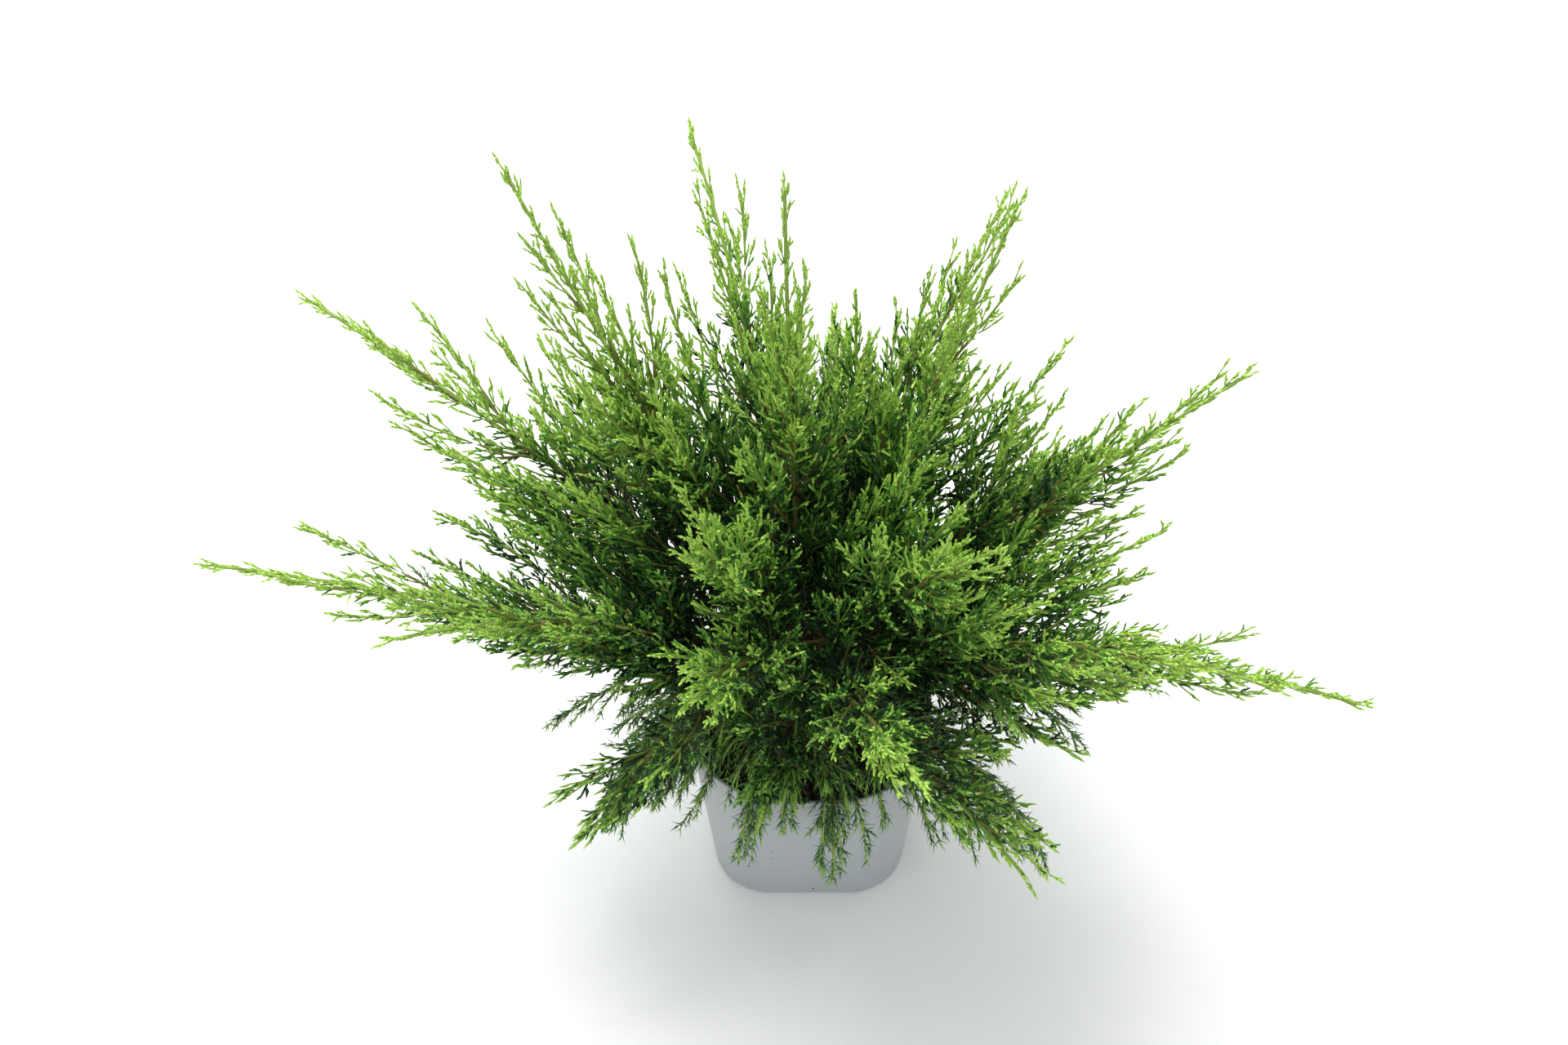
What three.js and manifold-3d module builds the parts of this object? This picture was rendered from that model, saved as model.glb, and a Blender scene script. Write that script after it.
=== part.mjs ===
// A young spreading juniper in a square-round nursery pot.
// The short woody stem forks low over the potting soil into arching boughs. Each bough runs on as the stem
// of one mass of foliage: twigs with slim scale-leaved sprays, ending in a long thin whip.
// Millimetres, +Z up. The origin is the middle of the pot's flat underside, and the front is -Y.
import * as THREE from "three";
import { mergeVertices } from "three/addons/utils/BufferGeometryUtils.js";
import Module from "manifold-3d";

const wasm = await Module();
wasm.setup();

// Pot: soft grey plastic, squarer at the foot and nearly round at the rim
const POT_HEIGHT = 118;
const RIM_ACROSS = 130;
const RIM_CORNER_RADIUS = 52;
const FOOT_ACROSS = 104;
const FOOT_CORNER_RADIUS = 30;
const POT_WALL = 1.6;
const POT_FLOOR = 2;
const POT_CORNER_STEPS = 6;
const DRAIN_HOLE_RADIUS = 5;
const DRAIN_HOLE_OFFSET = 32;
const DRAIN_HOLE_SIDES = 8;
const SOIL_BELOW_RIM = 11;
const SOIL_LEVEL = POT_HEIGHT - SOIL_BELOW_RIM;

// Woody stem and boughs
const JOINT_GAP = 0.3;
const TRUNK_HEIGHT = 66;
const TRUNK_FOOT_RADIUS = 5.6;
const TRUNK_TIP_RADIUS = 3.4;
const ROOT_FLARE = 3.2;
const ROOT_FLARE_HEIGHT = 7;
const TRUNK_LEAN_X = -4;
const TRUNK_LEAN_Y = 5;
const TRUNK_SIDES = 8;
const TRUNK_RINGS = 5;
const BOUGH_SIDES = 5;
const BOUGH_RINGS = 2;
const BOUGH_FOOT_RADIUS = 2.3;
const STEM_FOOT_RADIUS = 1.5;
const STEM_TIP_RADIUS = 0.45;

// Masses of foliage: a stem that close leaves swell to a plume, its twigs, and sprays of scale leaves
const PLUME_SIDES = 5;
const PLUME_RINGS = 6;
const PLUME_RADIUS = 11;
const PLUME_SHARE = 0.72;
const TWIG_SIDES = 3;
const TWIG_FOOT_RADIUS = 1.4;
const TWIG_TIP_RADIUS = 0.9;
const TWIG_ANGLE = 50;
const TWIG_ANGLE_AT_TIP = 26;
const TWIG_ROOT_SHARE = 0.08;
const SHORTEST_TWIG = 16;
const TURN_OF_TWIGS = 137.5;
const SPRAY_LENGTH = 42;
const SPRAY_WIDTH = 12;
const SPRAY_THICKNESS = 5;
const SPRAY_ROOT = 0.3;
const SPRAY_ANGLE = 38;
const SPRAY_SPACING = 22;
const TIP_SPRAY_AT = 0.84;
const WHIP_SPRAYS = 3;
const WHIP_SPRAY_ANGLE = 22;
const FIRST_SEED = 11;

// Room between neighbours, and the spacing of the beads that test it
const HEART_OF_MASS = 0.45;
const SPACE_MARGIN = 0.3;
const LIMB_CLEARANCE = 0.5;
const POT_CLEARANCE = 2.2;
const BEAD_SPACING = 3;

// Tiers of boughs, from those that hang over the rim up to the one that carries the trunk on:
// the length of bare bough, and the number and length of the twigs of its mass
const TIERS = {
  skirt: { bare: 48, twigs: 7, twig: 50 },
  low: { bare: 64, twigs: 7, twig: 57 },
  side: { bare: 60, twigs: 7, twig: 57 },
  high: { bare: 56, twigs: 8, twig: 51 },
  top: { bare: 0, twigs: 8, twig: 48 },
};

// Every bough with its mass: its height on the trunk, the compass angle that it runs in, how far and how high
// its tip reaches from there, and how high it arches. Angle 0 is the right side, 270 the front.
const BOUGH_BEND = 5;
const BOUGHS = [
  { tier: "skirt", side: "front_left", from: 8, angle: 195, reach: 114, tip: -75, arch: 84 },
  { tier: "skirt", side: "front", from: 4, angle: 244, reach: 88, tip: -29, arch: 84 },
  { tier: "skirt", side: "front_right", from: 5, angle: 278, reach: 90, tip: -29, arch: 84 },
  { tier: "skirt", side: "right", from: 9, angle: 330, reach: 142, tip: -38, arch: 62 },
  { tier: "skirt", side: "back_right", from: 6, angle: 62, reach: 136, tip: -40, arch: 62 },
  { tier: "skirt", side: "back_left", from: 5, angle: 106, reach: 140, tip: -38, arch: 62 },
  { tier: "low", side: "left", from: 22, angle: 173, reach: 318, tip: 58, arch: 74 },
  { tier: "low", side: "front_left", from: 17, angle: 220, reach: 150, tip: 24, arch: 76 },
  { tier: "low", side: "front", from: 13, angle: 256, reach: 110, tip: 45, arch: 84 },
  { tier: "low", side: "front_right", from: 18, angle: 307, reach: 176, tip: 48, arch: 80 },
  { tier: "low", side: "right", from: 23, angle: 350, reach: 284, tip: 58, arch: 84 },
  { tier: "low", side: "back_right", from: 14, angle: 39, reach: 216, tip: 46, arch: 76 },
  { tier: "low", side: "back", from: 19, angle: 84, reach: 206, tip: 52, arch: 80 },
  { tier: "low", side: "back_left", from: 12, angle: 129, reach: 218, tip: 48, arch: 78 },
  { tier: "side", side: "left", from: 38, angle: 152, reach: 292, tip: 138, arch: 118 },
  { tier: "side", side: "front_left", from: 28, angle: 199, reach: 214, tip: 142, arch: 122 },
  { tier: "side", side: "front", from: 37, angle: 244, reach: 134, tip: 152, arch: 128 },
  { tier: "side", side: "front_right", from: 27, angle: 288, reach: 164, tip: 150, arch: 126 },
  { tier: "side", side: "right", from: 40, angle: 332, reach: 246, tip: 156, arch: 122 },
  { tier: "side", side: "back_right", from: 31, angle: 17, reach: 226, tip: 172, arch: 118 },
  { tier: "side", side: "back", from: 25, angle: 61, reach: 204, tip: 178, arch: 120 },
  { tier: "side", side: "back_left", from: 33, angle: 106, reach: 222, tip: 186, arch: 122 },
  { tier: "high", side: "left", from: 52, angle: 145, reach: 178, tip: 262, arch: 128 },
  { tier: "high", side: "front", from: 48, angle: 233, reach: 92, tip: 208, arch: 122 },
  { tier: "high", side: "right", from: 51, angle: 313, reach: 126, tip: 222, arch: 120 },
  { tier: "high", side: "back", from: 54, angle: 39, reach: 128, tip: 256, arch: 126 },
  { tier: "top", side: "whip", from: 66, angle: 99, reach: 62, tip: 278, arch: 120 },
];

const GREY_PLASTIC = new THREE.MeshStandardMaterial({ color: 0xc2c8cc, roughness: 0.5, metalness: 0 });
const PEAT = new THREE.MeshStandardMaterial({ color: 0x2e221a, roughness: 1, metalness: 0 });
const BARK = new THREE.MeshStandardMaterial({ color: 0x6b4a33, roughness: 0.9, metalness: 0 });
const FOLIAGE = new THREE.MeshStandardMaterial({ color: 0x4f8a2f, roughness: 0.65, metalness: 0 });

const plant = new THREE.Group();

// A closed mesh geometry as a solid that can be joined and cut
function toSolid(geometry) {
  const bare = geometry.clone();
  bare.deleteAttribute("normal");
  bare.deleteAttribute("uv");
  const merged = mergeVertices(bare);
  return new wasm.Manifold(
    new wasm.Mesh({
      numProp: 3,
      vertProperties: merged.attributes.position.array,
      triVerts: new Uint32Array(merged.index.array),
    }),
  );
}

// A joined or cut solid back as a mesh geometry
function toGeometry(solid) {
  const mesh = solid.getMesh();
  const geometry = new THREE.BufferGeometry();
  geometry.setAttribute("position", new THREE.BufferAttribute(mesh.vertProperties, mesh.numProp));
  geometry.setIndex(new THREE.BufferAttribute(mesh.triVerts, 1));
  geometry.computeVertexNormals();
  return geometry;
}

function addNode(name, geometry, material) {
  const mesh = new THREE.Mesh(geometry, material);
  mesh.name = name;
  plant.add(mesh);
}

// Numbers from 0 to 1 that are the same on every run
function seededNumbers(seed) {
  const MULTIPLIER = 16807;
  const MODULUS = 2147483647;
  let state = seed * MULTIPLIER;
  return () => {
    state = (state * MULTIPLIER) % MODULUS;
    return state / MODULUS;
  };
}

const { clamp, degToRad: radians, lerp: blend } = THREE.MathUtils;

// Level direction of a compass angle
function heading(angle) {
  return new THREE.Vector3(Math.cos(radians(angle)), Math.sin(radians(angle)), 0);
}

// Pot and soil: a rounded square carried up, whose width and corners change with height
function roundedSquare(across, cornerRadius) {
  const straight = across / 2 - cornerRadius;
  const outline = new THREE.Shape();
  for (let corner = 0; corner < 4; corner++) {
    const from = (corner * Math.PI) / 2;
    const middle = from + Math.PI / 4;
    const x = straight * Math.SQRT2 * Math.cos(middle);
    const y = straight * Math.SQRT2 * Math.sin(middle);
    outline.absarc(x, y, cornerRadius, from, from + Math.PI / 2, false);
  }
  return outline;
}

// Half width and corner radius of the pot's outside at a height
function potAt(height) {
  const share = height / POT_HEIGHT;
  return {
    half: blend(FOOT_ACROSS, RIM_ACROSS, share) / 2,
    corner: blend(FOOT_CORNER_RADIUS, RIM_CORNER_RADIUS, share),
  };
}

// A block that fills the pot's outline from one height to another, taken in by an inset all round
function potBlock(low, high, inset) {
  const block = new THREE.ExtrudeGeometry(roundedSquare(RIM_ACROSS, RIM_CORNER_RADIUS), {
    depth: 1,
    bevelEnabled: false,
    curveSegments: POT_CORNER_STEPS,
  });
  const straight = RIM_ACROSS / 2 - RIM_CORNER_RADIUS;
  const position = block.attributes.position;
  for (let i = 0; i < position.count; i++) {
    const z = blend(low, high, position.getZ(i));
    const { half, corner } = potAt(z);
    const sideX = Math.sign(position.getX(i));
    const sideY = Math.sign(position.getY(i));
    const outX = (position.getX(i) - sideX * straight) / RIM_CORNER_RADIUS;
    const outY = (position.getY(i) - sideY * straight) / RIM_CORNER_RADIUS;
    const centre = half - corner;
    position.setXYZ(i, sideX * centre + (corner - inset) * outX, sideY * centre + (corner - inset) * outY, z);
  }
  return block;
}

function makePot() {
  let pot = toSolid(potBlock(0, POT_HEIGHT, 0));
  pot = pot.subtract(toSolid(potBlock(POT_FLOOR, POT_HEIGHT + POT_WALL, POT_WALL)));
  const hole = DRAIN_HOLE_RADIUS;
  const drill = new THREE.CylinderGeometry(hole, hole, 3 * POT_FLOOR, DRAIN_HOLE_SIDES);
  drill.rotateX(Math.PI / 2);
  for (const x of [-DRAIN_HOLE_OFFSET, DRAIN_HOLE_OFFSET])
    for (const y of [-DRAIN_HOLE_OFFSET, DRAIN_HOLE_OFFSET])
      pot = pot.subtract(toSolid(drill.clone().translate(x, y, POT_FLOOR / 2)));
  addNode("pot", toGeometry(pot), GREY_PLASTIC);
}

function makeSoil() {
  addNode("potting_soil", potBlock(POT_FLOOR + JOINT_GAP, SOIL_LEVEL, POT_WALL + JOINT_GAP), PEAT);
}

// A curve through three control points, the middle one pulling it into an arch
class Arch extends THREE.QuadraticBezierCurve3 {
  // The one direction that the whole arch is square to
  square() {
    const across = new THREE.Vector3()
      .subVectors(this.v1, this.v0)
      .cross(new THREE.Vector3().subVectors(this.v2, this.v1));
    if (across.length() < 1e-6) across.set(-this.v2.y, this.v2.x, 1);
    return across.normalize();
  }
}

// A round limb along a stretch of an arch, straight from each ring to the next, with a radius at each ring
class Limb {
  constructor(arch, from, to, sides, rings, radiusAt) {
    this.sides = sides;
    this.rings = rings;
    this.across = arch.square();
    const shares = Array.from({ length: rings + 1 }, (_, i) => i / rings);
    this.centres = shares.map((share) => arch.getPoint(blend(from, to, share)));
    this.tangents = shares.map((share) => arch.getTangent(blend(from, to, share)));
    this.radii = shares.map((share, i) => radiusAt(share, this.centres[i]));
  }

  // The ring below a share of the way along, and how far it is from there to the next ring
  place(share) {
    const ring = Math.min(Math.floor(share * this.rings), this.rings - 1);
    return [ring, share * this.rings - ring];
  }

  pointAt(share) {
    const [ring, part] = this.place(share);
    return this.centres[ring].clone().lerp(this.centres[ring + 1], part);
  }

  directionAt(share) {
    const [ring] = this.place(share);
    return new THREE.Vector3().subVectors(this.centres[ring + 1], this.centres[ring]).normalize();
  }

  radiusAt(share) {
    const [ring, part] = this.place(share);
    return blend(this.radii[ring], this.radii[ring + 1], part);
  }

  length() {
    return this.centres.slice(1).reduce((sum, centre, i) => sum + centre.distanceTo(this.centres[i]), 0);
  }

  // A cylinder whose rings are moved on to the limb's centres
  solid() {
    const tube = new THREE.CylinderGeometry(1, 1, 1, this.sides, this.rings);
    const position = tube.attributes.position;
    for (let i = 0; i < position.count; i++) {
      const ring = Math.round((position.getY(i) + 0.5) * this.rings);
      const outward = new THREE.Vector3().crossVectors(this.across, this.tangents[ring]);
      const at = this.centres[ring].clone().addScaledVector(this.across, position.getX(i) * this.radii[ring]);
      at.addScaledVector(outward, position.getZ(i) * this.radii[ring]);
      position.setXYZ(i, at.x, at.y, at.z);
    }
    return toSolid(tube);
  }

  // Round beads that stand in for the limb in the tests of room
  beads(from = 0) {
    const count = Math.ceil((this.length() * (1 - from)) / BEAD_SPACING);
    return Array.from({ length: count + 1 }, (_, i) => {
      const share = blend(from, 1, i / count);
      return { at: this.pointAt(share), radius: this.radiusAt(share) };
    });
  }
}

// The woody stem: a flat cut on the soil, a flare at the foot, and a slight lean
const trunkArch = new Arch(
  new THREE.Vector3(0, 0, SOIL_LEVEL + JOINT_GAP),
  new THREE.Vector3(0, 0, SOIL_LEVEL + TRUNK_HEIGHT / 2),
  new THREE.Vector3(TRUNK_LEAN_X, TRUNK_LEAN_Y, SOIL_LEVEL + TRUNK_HEIGHT),
);

function trunkRadius(share) {
  const flare = ROOT_FLARE * Math.exp((-share * TRUNK_HEIGHT) / ROOT_FLARE_HEIGHT);
  return blend(TRUNK_FOOT_RADIUS, TRUNK_TIP_RADIUS, share) + flare;
}

const trunk = new Limb(trunkArch, 0, 1, TRUNK_SIDES, TRUNK_RINGS, trunkRadius);

const boughRadius = (share) => blend(BOUGH_FOOT_RADIUS, STEM_FOOT_RADIUS, share);
const twigRadius = (share) => blend(TWIG_FOOT_RADIUS, TWIG_TIP_RADIUS, share);

// The arch that a bough and its mass share, from the trunk's middle to the whip's tip, bent a little sideways
function boughArch({ from, angle, reach, tip, arch }, bend) {
  const start = trunkArch.getPoint(from / TRUNK_HEIGHT);
  const middle = start.clone().addScaledVector(heading(angle + bend), reach / 2);
  middle.z += arch;
  const end = start.clone().addScaledVector(heading(angle), reach);
  end.z += tip;
  return new Arch(start, middle, end);
}

const leaders = BOUGHS.map((row, i) => {
  const arch = boughArch(row, i % 2 ? -BOUGH_BEND : BOUGH_BEND);
  const { bare, twigs, twig } = TIERS[row.tier];
  const share = bare / arch.getLength();
  return {
    name: row.tier + "_" + row.side,
    seed: FIRST_SEED + i,
    arch,
    bough: bare > 0 ? new Limb(arch, 0, share, BOUGH_SIDES, BOUGH_RINGS, boughRadius) : null,
    massFrom: share + JOINT_GAP / arch.getLength(),
    heart: arch.getPoint(blend(share, 1, HEART_OF_MASS)),
    twigs,
    twig,
  };
});

// All wood as beads: the trunk, the boughs, and the stems that run through the masses
const stemRadius = (share) => blend(STEM_FOOT_RADIUS, STEM_TIP_RADIUS, share);
const wood = trunk.beads();
for (const leader of leaders) {
  if (leader.bough) wood.push(...leader.bough.beads());
  const stem = new Limb(leader.arch, leader.massFrom, 1, PLUME_SIDES, PLUME_RINGS, stemRadius);
  wood.push(...stem.beads().map((bead) => ({ ...bead, leader })));
}

// Room up to the nearest border of a mass's own space, where another mass's heart comes as near as its own
function roomInSpace(leader, point) {
  const rooms = leaders.filter((other) => other !== leader).map((other) => {
    const away = new THREE.Vector3().subVectors(other.heart, leader.heart).normalize();
    const border = new THREE.Vector3().addVectors(other.heart, leader.heart).multiplyScalar(0.5);
    return border.sub(point).dot(away);
  });
  return Math.min(...rooms) - SPACE_MARGIN;
}

// Room up to the nearest wood that isn't the mass's own stem
function roomFromWood(leader, point) {
  const others = wood.filter((bead) => bead.leader !== leader);
  return Math.min(...others.map((bead) => point.distanceTo(bead.at) - bead.radius)) - LIMB_CLEARANCE;
}

// Room over the rim, or outside the pot's outline at the point's height
function roomFromPot(point) {
  const over = point.z - POT_HEIGHT;
  const { half, corner } = potAt(Math.min(point.z, POT_HEIGHT));
  const x = Math.max(Math.abs(point.x) - half + corner, 0);
  const y = Math.max(Math.abs(point.y) - half + corner, 0);
  return Math.max(over, Math.hypot(x, y) - corner) - POT_CLEARANCE;
}

function room(leader, point) {
  return Math.min(roomInSpace(leader, point), roomFromWood(leader, point), roomFromPot(point));
}

function fits(leader, beads) {
  return beads.every((bead) => room(leader, bead.at) > bead.radius);
}

// The stem of a mass starts the joint gap past its bough and swells to the plume as far as it has room,
// which is tried at each ring and halfway to the next ones
function plumeStem(leader) {
  const { arch, massFrom } = leader;
  return new Limb(arch, massFrom, 1, PLUME_SIDES, PLUME_RINGS, (share) => {
    const near = [-0.5, 0, 0.5].map((step) => clamp(share + step / PLUME_RINGS, 0, 1));
    const rooms = near.map((place) => room(leader, arch.getPoint(blend(massFrom, 1, place))));
    const swell = PLUME_RADIUS * Math.sin(Math.PI * Math.min(share / PLUME_SHARE, 1));
    return Math.max(stemRadius(share), Math.min(stemRadius(share) + swell, ...rooms));
  });
}

// What leaves the trunk is cut to this sleeve, so that it meets the bark with the joint gap all round
const sleeveRadius = (share) => trunkRadius(share) + JOINT_GAP;
const sleeve = new Limb(trunkArch, 0, 1, TRUNK_SIDES, TRUNK_RINGS, sleeveRadius).solid();

function makeBoughs() {
  for (const { name, bough } of leaders)
    if (bough) addNode("bough_" + name, toGeometry(bough.solid().subtract(sleeve)), BARK);
}

// A spray of scale leaves: a three-sided blade pointed at both ends, its root sunk in what carries it
function spray(root, direction, length, roll) {
  const scale = length / SPRAY_LENGTH;
  const blade = new THREE.SphereGeometry(1, 3, 2);
  blade.scale((SPRAY_WIDTH / 2) * scale, length / 2, (SPRAY_THICKNESS / 2) * scale);
  blade.rotateY(roll);
  blade.applyQuaternion(new THREE.Quaternion().setFromUnitVectors(new THREE.Vector3(0, 1, 0), direction));
  const centre = root.clone().addScaledVector(direction, length / 2 - SPRAY_ROOT);
  return toSolid(blade.translate(centre.x, centre.y, centre.z));
}

function sprayBeads(root, direction, length) {
  const widest = ((SPRAY_WIDTH / 2) * length) / SPRAY_LENGTH;
  const count = Math.ceil(length / BEAD_SPACING);
  return Array.from({ length: count + 1 }, (_, i) => {
    const share = i / count;
    return {
      at: root.clone().addScaledVector(direction, length * share),
      radius: widest * (1 - Math.abs(2 * share - 1)),
    };
  });
}

// A direction that leans off an axis by an angle, on the side given by a turn round it
function leaned(axis, across, lean, turn) {
  const side = across.clone().projectOnPlane(axis).normalize().applyAxisAngle(axis, turn);
  return axis.clone().multiplyScalar(Math.cos(lean)).addScaledVector(side, Math.sin(lean)).normalize();
}

// One mass: a stem, twigs turned round it by the golden angle, and sprays along and at the end of each
function makeMass(leader) {
  const random = seededNumbers(leader.seed);
  const stem = plumeStem(leader);
  const pieces = [stem.solid()];

  const addSpray = (root, direction, length) => {
    const roll = random() * Math.PI;
    if (fits(leader, sprayBeads(root, direction, length))) pieces.push(spray(root, direction, length, roll));
  };

  for (let i = 0; i < leader.twigs; i++) {
    const share = (i + 0.25 + 0.5 * random()) / (leader.twigs + 1.5);
    const root = stem.pointAt(share);
    const lean = radians(blend(TWIG_ANGLE, TWIG_ANGLE_AT_TIP, share) * (0.9 + 0.2 * random()));
    const turn = radians(i * TURN_OF_TWIGS + 30 * random());
    const direction = leaned(stem.directionAt(share), stem.across, lean, turn);
    let length = leader.twig * (1.05 - 0.75 * share) * (0.8 + 0.4 * random());
    // A twig that would leave its space is grown shorter, and is skipped when it would be a stub
    for (; length > SHORTEST_TWIG; length *= 0.82) {
      const end = root.clone().addScaledVector(direction, length);
      const line = new Arch(root, root.clone().lerp(end, 0.5), end);
      const twig = new Limb(line, 0, 1, TWIG_SIDES, 1, twigRadius);
      if (!fits(leader, twig.beads(TWIG_ROOT_SHARE))) continue;
      pieces.push(twig.solid());
      addSpray(twig.pointAt(TIP_SPRAY_AT), direction, SPRAY_LENGTH * (0.8 + 0.3 * random()));
      const count = Math.floor(length / SPRAY_SPACING);
      for (let k = 0; k < count; k++) {
        const at = (k + 0.7) / (count + 0.6);
        const off = leaned(direction, twig.across, radians(SPRAY_ANGLE), k * Math.PI + random());
        addSpray(twig.pointAt(at), off, SPRAY_LENGTH * (0.75 + 0.35 * random()));
      }
      break;
    }
  }
  // The whip: short sprays held close to the last third of the stem
  for (let i = 0; i < WHIP_SPRAYS; i++) {
    const share = blend(0.6, 0.95, (i + random()) / WHIP_SPRAYS);
    const turn = radians(i * TURN_OF_TWIGS);
    const direction = leaned(stem.directionAt(share), stem.across, radians(WHIP_SPRAY_ANGLE), turn);
    addSpray(stem.pointAt(share), direction, SPRAY_LENGTH * blend(0.8, 0.5, share));
  }
  addNode("foliage_" + leader.name, toGeometry(wasm.Manifold.union(pieces).subtract(sleeve)), FOLIAGE);
}

makePot();
makeSoil();
addNode("trunk", toGeometry(trunk.solid()), BARK);
makeBoughs();
for (const leader of leaders) makeMass(leader);

export default plant;
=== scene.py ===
from collections import namedtuple

import bpy
import numpy as np
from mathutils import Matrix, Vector


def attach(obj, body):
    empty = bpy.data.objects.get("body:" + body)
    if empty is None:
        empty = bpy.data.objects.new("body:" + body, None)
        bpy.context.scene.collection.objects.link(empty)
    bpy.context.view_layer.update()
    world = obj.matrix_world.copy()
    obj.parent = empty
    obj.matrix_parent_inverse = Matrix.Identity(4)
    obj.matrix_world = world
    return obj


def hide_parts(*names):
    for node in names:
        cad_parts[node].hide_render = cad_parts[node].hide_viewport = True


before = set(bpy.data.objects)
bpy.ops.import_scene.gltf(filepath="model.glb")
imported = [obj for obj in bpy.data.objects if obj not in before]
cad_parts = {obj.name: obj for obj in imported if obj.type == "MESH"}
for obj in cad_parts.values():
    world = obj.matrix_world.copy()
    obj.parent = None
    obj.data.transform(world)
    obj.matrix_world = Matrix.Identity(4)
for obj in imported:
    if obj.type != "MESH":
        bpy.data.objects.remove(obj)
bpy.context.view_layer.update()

# The view and the studio: the plant is seen from above its front, through a short telephoto lens. It stands
# on a plain white floor in an even white room, under one wide soft lamp above and behind it.
# Sizes are in millimetres throughout, and MM turns them to metres where an object is made.
MM = 0.001
LENS = 75
FILM_WIDTH = 36
VIEW_DEPTH = 20000
VIEW_DISTANCE = 1680
VIEW_ELEVATION = np.radians(54)
VIEW_CENTRE = np.array([-14, 38, 226])
FLOOR_HALF = 6000
FLOOR_WHITE = "#fbfbfa"
FLOOR_ROUGHNESS = 0.8
ROOM_WHITE = "#f9fbfd"
ROOM_STRENGTH = 0.84
LAMP_ACROSS = 1300
LAMP_PLACE = np.array([-380, 800, 1900])
LAMP_WATTS = 44


def linear(colour):
    """An sRGB hex colour as linear red, green, blue and alpha: the sRGB curve undone for each channel."""
    values = np.array([int(colour[i : i + 2], 16) for i in (1, 3, 5)]) / 255
    low = values / 12.92
    high = ((values + 0.055) / 1.055) ** 2.4
    return (*np.where(values <= 0.04045, low, high), 1.0)


def add_node(tree, kind, settings=None, links=None):
    """Add one shader node, set its properties or sockets by name, and link outputs to its sockets."""
    node = tree.nodes.new(kind)
    for name, value in (settings or {}).items():
        if isinstance(name, str) and hasattr(node, name):
            setattr(node, name, value)
        else:
            node.inputs[name].default_value = value
    for name, output in (links or {}).items():
        tree.links.new(output, node.inputs[name])
    return node


def new_material(name):
    """An empty material of that name, as the material and its node tree."""
    material = bpy.data.materials.new(name)
    material.use_nodes = True
    material.node_tree.nodes.clear()
    return material, material.node_tree


def add_surface(tree, settings, links=None, height=None, strength=0.0, depth=0.0):
    """Give a material its surface, with a bump of that height, strength and depth in metres if asked."""
    shader = add_node(tree, "ShaderNodeBsdfPrincipled", settings, links)
    add_node(tree, "ShaderNodeOutputMaterial", links={"Surface": shader.outputs["BSDF"]})
    if height is not None:
        relief = {"Strength": strength, "Distance": depth}
        bump = add_node(tree, "ShaderNodeBump", relief, {"Height": height})
        tree.links.new(bump.outputs["Normal"], shader.inputs["Normal"])


def add_mesh(name, points, triangles, material, smooth):
    """A mesh object at the origin from points in millimetres and rows of three corner numbers."""
    mesh = bpy.data.meshes.new(name)
    mesh.vertices.add(len(points))
    mesh.vertices.foreach_set("co", (points * MM).astype(np.float32).ravel())
    mesh.loops.add(3 * len(triangles))
    mesh.loops.foreach_set("vertex_index", triangles.astype(np.int32).ravel())
    mesh.polygons.add(len(triangles))
    mesh.polygons.foreach_set("loop_start", np.arange(0, 3 * len(triangles), 3, dtype=np.int32))
    mesh.polygons.foreach_set("use_smooth", np.full(len(triangles), smooth))
    mesh.update(calc_edges=True)
    mesh.validate()
    mesh.materials.append(material)
    piece = bpy.data.objects.new(name, mesh)
    bpy.context.scene.collection.objects.link(piece)
    return piece


def aim(thing, place, target):
    """Put a camera or lamp at a place, looking at a target."""
    thing.location = Vector(place * MM)
    thing.rotation_euler = Vector((target - place) * MM).to_track_quat("-Z", "Y").to_euler()


camera = bpy.data.objects.new("camera", bpy.data.cameras.new("camera"))
camera.data.lens = LENS
camera.data.sensor_width = FILM_WIDTH
camera.data.clip_end = VIEW_DEPTH * MM
view_direction = np.array([0, -np.cos(VIEW_ELEVATION), np.sin(VIEW_ELEVATION)])
aim(camera, VIEW_CENTRE + view_direction * VIEW_DISTANCE, VIEW_CENTRE)
bpy.context.scene.collection.objects.link(camera)
bpy.context.scene.camera = camera

lamp = bpy.data.objects.new("overhead_softbox", bpy.data.lights.new("overhead_softbox", "AREA"))
lamp.data.size = LAMP_ACROSS * MM
lamp.data.energy = LAMP_WATTS
aim(lamp, LAMP_PLACE, VIEW_CENTRE)
bpy.context.scene.collection.objects.link(lamp)

room = bpy.data.worlds.new("white_room")
room.use_nodes = True
room.node_tree.nodes["Background"].inputs["Color"].default_value = linear(ROOM_WHITE)
room.node_tree.nodes["Background"].inputs["Strength"].default_value = ROOM_STRENGTH
bpy.context.scene.world = room
bpy.context.scene.view_settings.view_transform = "Standard"

# White painted board: matt, so that it shows only the soft shade round the pot
floor_paint, tree = new_material("matt white painted board")
add_surface(tree, {"Base Color": linear(FLOOR_WHITE), "Roughness": FLOOR_ROUGHNESS})
floor_corners = FLOOR_HALF * np.array([[-1, -1, 0], [1, -1, 0], [1, 1, 0], [-1, 1, 0]])
floor = add_mesh("floor", floor_corners, np.array([[0, 1, 2], [0, 2, 3]]), floor_paint, False)

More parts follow.
